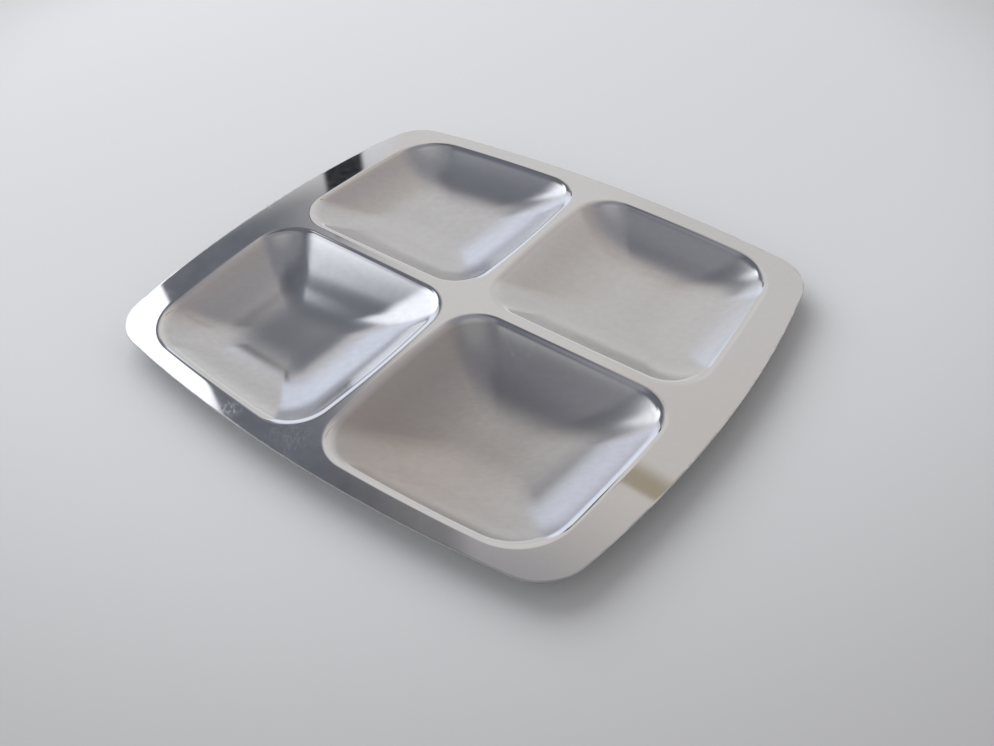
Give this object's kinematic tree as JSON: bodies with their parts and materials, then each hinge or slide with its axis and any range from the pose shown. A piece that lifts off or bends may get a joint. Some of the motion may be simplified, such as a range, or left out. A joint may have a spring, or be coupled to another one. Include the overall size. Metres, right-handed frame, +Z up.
{
  "type": "divided compartment plate",
  "caption": "Oblong serving plate with bowed sides, pressed from one stainless steel sheet, with dished compartments parted by narrow ridges inside a plain trimmed rim.",
  "frame": {"origin": "middle of the plate, on the plane of the feet that it rests on", "axes": "+X along the length, +Y across the width, +Z up"},
  "size_m": [0.26, 0.227, 0.0118],
  "materials": {
    "steel": "polished and worn, with a soft mirror, fine scratches and faint warm smudges"
  },
  "bodies": {
    "root": {"plate": "steel"}
  },
  "joints": []
}
